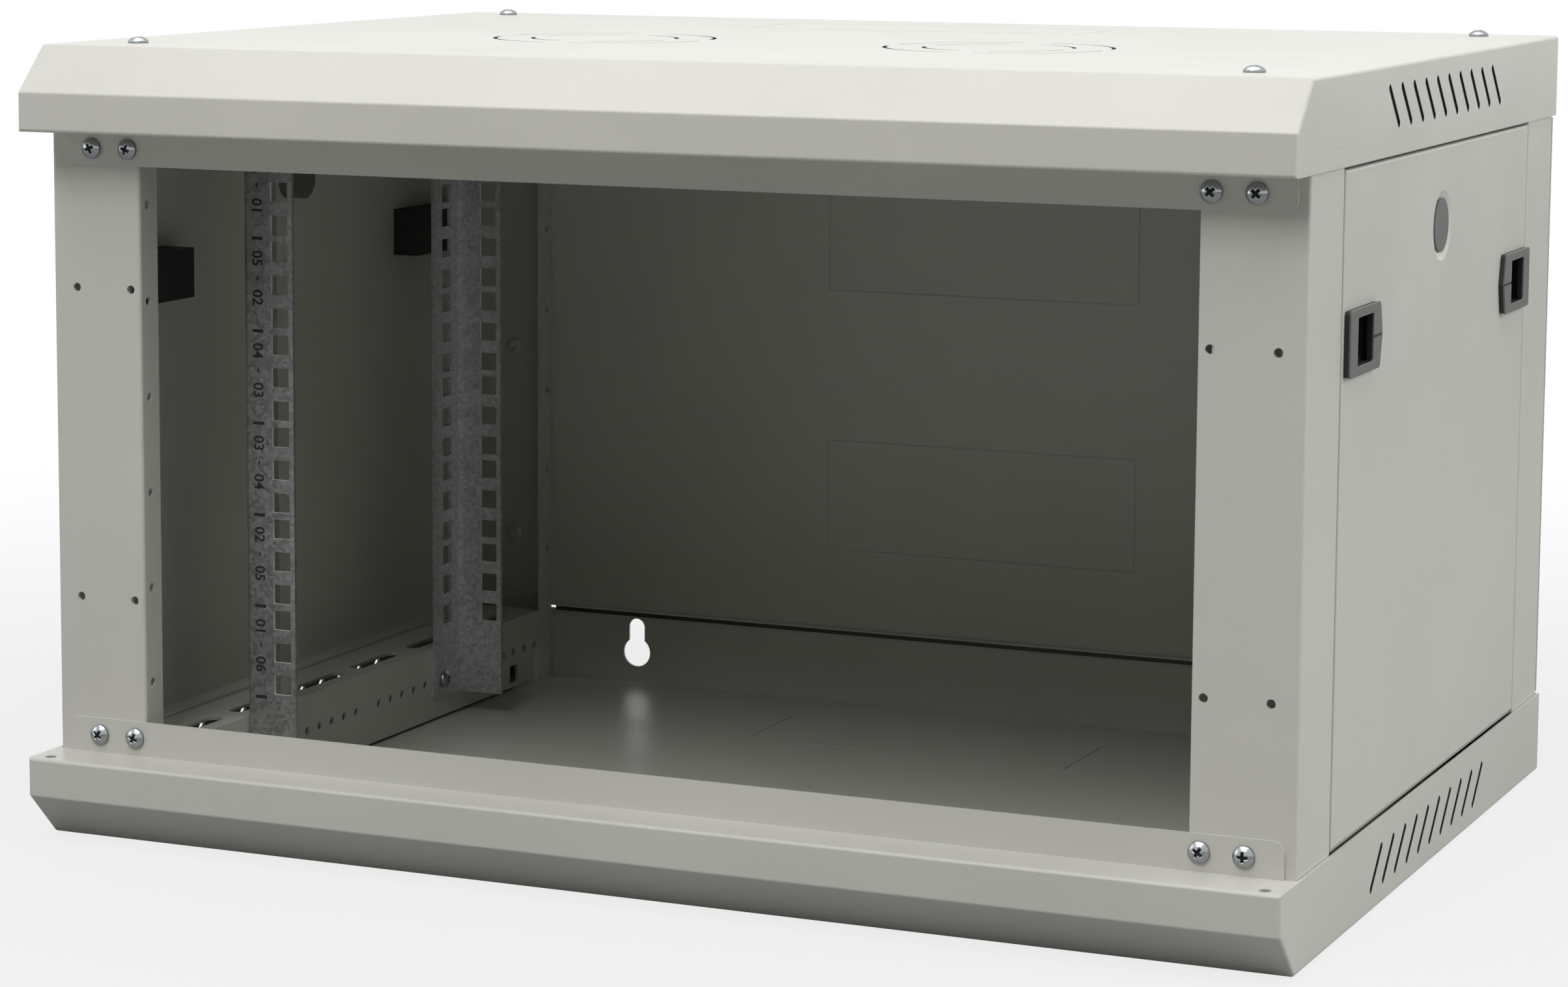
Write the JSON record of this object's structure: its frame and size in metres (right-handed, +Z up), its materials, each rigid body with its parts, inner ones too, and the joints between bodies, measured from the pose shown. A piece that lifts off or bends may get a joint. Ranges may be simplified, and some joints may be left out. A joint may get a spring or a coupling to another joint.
{
  "type": "wall mount network cabinet",
  "caption": "Wall mount rack cabinet frame: folded steel covers, corner posts, adjustable mounting rails, a back panel and tilt-off side panels with slide latches.",
  "frame": {"origin": "on the floor below the middle of the cabinet's 600 x 450 mm outline", "axes": "+Z up, +Y to the wall at the back, +X to the right seen from the front"},
  "size_m": [0.603, 0.45, 0.371],
  "materials": {
    "grey_paint": "fine texture, satin",
    "zinc_rail": "galvanised",
    "zinc_screw": "bright zinc plated",
    "latch_grey": "matte",
    "black_plastic": "matte"
  },
  "bodies": {
    "cabinet": {"top_cover": "grey_paint", "bottom_cover": "grey_paint", "back_panel": "grey_paint", "front_post_left": "grey_paint", "front_post_right": "grey_paint", "rear_post_left": "grey_paint", "rear_post_right": "grey_paint", "lower_side_rail_left": "grey_paint", "lower_side_rail_right": "grey_paint", "upper_side_rail_left": "grey_paint", "upper_side_rail_right": "grey_paint", "mounting_rail_front_left": "zinc_rail", "mounting_rail_front_right": "zinc_rail", "mounting_rail_rear_left": "zinc_rail", "mounting_rail_rear_right": "zinc_rail", "top_flange_screws": "zinc_screw", "bottom_flange_screws": "zinc_screw", "top_cover_screws": "zinc_screw", "bottom_cover_screws": "zinc_screw", "rail_screws_left": "zinc_screw", "rail_screws_right": "zinc_screw", "back_panel_screws": "zinc_screw"},
    "panel_left": {"side_panel_left": "grey_paint", "panel_cap_left": "black_plastic", "latch_bezel_left_front": "latch_grey", "latch_bezel_left_rear": "latch_grey", "latch_case_left_front": "black_plastic", "latch_case_left_rear": "black_plastic"},
    "slider_left_front": {"latch_slider_left_front": "latch_grey"},
    "slider_left_rear": {"latch_slider_left_rear": "latch_grey"},
    "panel_right": {"side_panel_right": "grey_paint", "panel_cap_right": "black_plastic", "latch_bezel_right_front": "latch_grey", "latch_bezel_right_rear": "latch_grey", "latch_case_right_front": "black_plastic", "latch_case_right_rear": "black_plastic"},
    "slider_right_front": {"latch_slider_right_front": "latch_grey"},
    "slider_right_rear": {"latch_slider_right_rear": "latch_grey"}
  },
  "joints": [
    {"name": "side_panel_left_tilt", "type": "hinge", "parent": "cabinet", "child": "panel_left", "pos_m": [-0.2985, 0.0124, 0.0405], "axis": [0, -1, 0], "range_deg": [0, 25]},
    {"name": "latch_left_front_slide", "type": "slide", "parent": "panel_left", "child": "slider_left_front", "axis": [0, -1, 0], "range_m": [0, 0.006]},
    {"name": "latch_left_rear_slide", "type": "slide", "parent": "panel_left", "child": "slider_left_rear", "axis": [0, 1, 0], "range_m": [0, 0.006]},
    {"name": "side_panel_right_tilt", "type": "hinge", "parent": "cabinet", "child": "panel_right", "pos_m": [0.2985, 0.0124, 0.0405], "axis": [0, 1, 0], "range_deg": [0, 25]},
    {"name": "latch_right_front_slide", "type": "slide", "parent": "panel_right", "child": "slider_right_front", "axis": [0, -1, 0], "range_m": [0, 0.006]},
    {"name": "latch_right_rear_slide", "type": "slide", "parent": "panel_right", "child": "slider_right_rear", "axis": [0, 1, 0], "range_m": [0, 0.006]}
  ]
}
